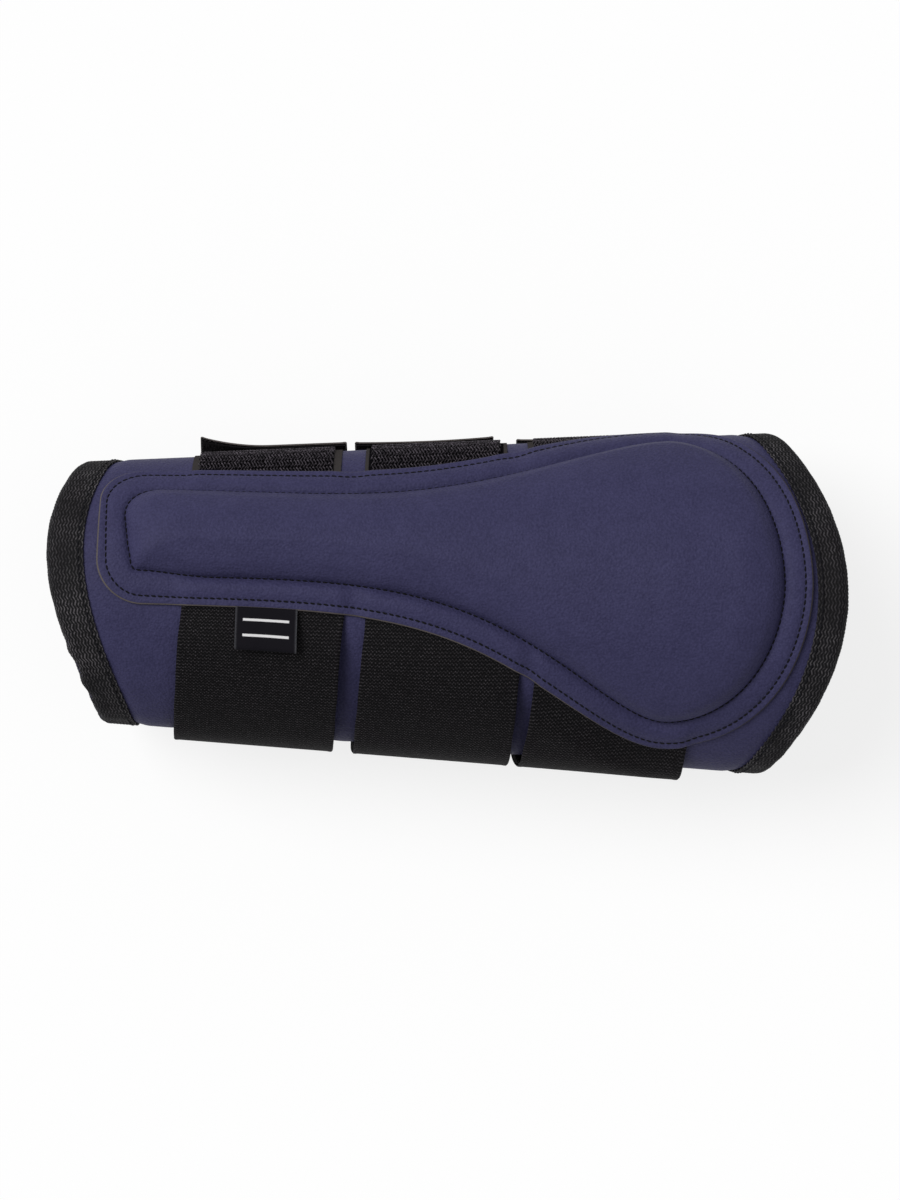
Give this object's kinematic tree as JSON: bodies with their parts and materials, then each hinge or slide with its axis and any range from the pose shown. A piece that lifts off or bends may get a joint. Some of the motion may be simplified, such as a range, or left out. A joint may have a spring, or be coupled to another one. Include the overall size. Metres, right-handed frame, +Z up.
{
  "type": "tendon boot",
  "caption": "Padded horse brushing boot, closed and lying flat: a tapered wrap with a crowned strike pad, elastic straps on hook patches and bound ends.",
  "frame": {"origin": "on the floor side of the middle strap, under the middle of the boot, where the boot lies on its back", "axes": "+X along the boot from the cannon (upper) end to the fetlock (lower) end, +Z up through the strike pad, +Y towards the strap ends"},
  "size_m": [0.2532, 0.1143, 0.0873],
  "materials": {
    "skin": "navy synthetic leather with a fine grain, matt",
    "webbing": "black woven webbing with fine ribs",
    "elastic": "black woven elastic with plain selvedges",
    "hook_tape": "charcoal hook tape, hooks in chevron rows",
    "loop_pile": "black loop pile",
    "label": "black woven label tape, blank",
    "foam": "grey cell foam",
    "lining": "dark knitted lining",
    "stiffener": "black plastic sheet"
  },
  "bodies": {
    "back_panel": {"back_lining": "lining", "back_foam": "foam", "back_skin": "skin", "back_cannon_binding": "webbing", "back_fetlock_binding": "webbing", "back_closure_tape": "webbing", "strap_1_run": "elastic", "strap_2_run": "elastic", "strap_3_run": "elastic"},
    "front_panel": {"front_lining": "lining", "front_foam": "foam", "front_skin": "skin", "front_cannon_binding": "webbing", "front_fetlock_binding": "webbing", "front_closure_tape": "webbing", "strike_pad_stiffener": "stiffener", "strike_pad_foam": "foam", "strike_pad_cover": "skin", "strap_1_anchor": "elastic", "strap_2_anchor": "elastic", "strap_3_anchor": "elastic", "hook_patch_1": "hook_tape", "hook_patch_2": "hook_tape", "hook_patch_3": "hook_tape"},
    "strap_tip_1": {"strap_1_end": "elastic", "loop_patch_1": "loop_pile"},
    "strap_tip_2": {"strap_2_end": "elastic", "loop_patch_2": "loop_pile"},
    "strap_tip_3": {"strap_3_end": "elastic", "loop_patch_3": "loop_pile"},
    "label": {"size_label": "label"}
  },
  "joints": [
    {"name": "shell_open", "type": "hinge", "parent": "back_panel", "child": "front_panel", "pos_m": [0, -0.0527, 0.02931], "axis": [0.9979, -0.0581, 0.0284], "range_deg": [0, 100]},
    {"name": "strap_1_peel", "type": "hinge", "parent": "back_panel", "child": "strap_tip_1", "pos_m": [-0.06115, 0.03546, 0.00525], "axis": [-0.999, -0.0441, -0.0055], "range_deg": [0, 60]},
    {"name": "strap_2_peel", "type": "hinge", "parent": "back_panel", "child": "strap_tip_2", "pos_m": [-0.00325, 0.03802, 0.00557], "axis": [-0.999, -0.0441, -0.0055], "range_deg": [0, 60]},
    {"name": "strap_3_peel", "type": "hinge", "parent": "back_panel", "child": "strap_tip_3", "pos_m": [0.05015, 0.04038, 0.00586], "axis": [-0.999, -0.0441, -0.0055], "range_deg": [0, 60]},
    {"name": "label_lift", "type": "hinge", "parent": "front_panel", "child": "label", "pos_m": [-0.05545, -0.00408, 0.06926], "axis": [-0.9973, 0.0049, -0.0737], "range_deg": [0, 110]}
  ]
}
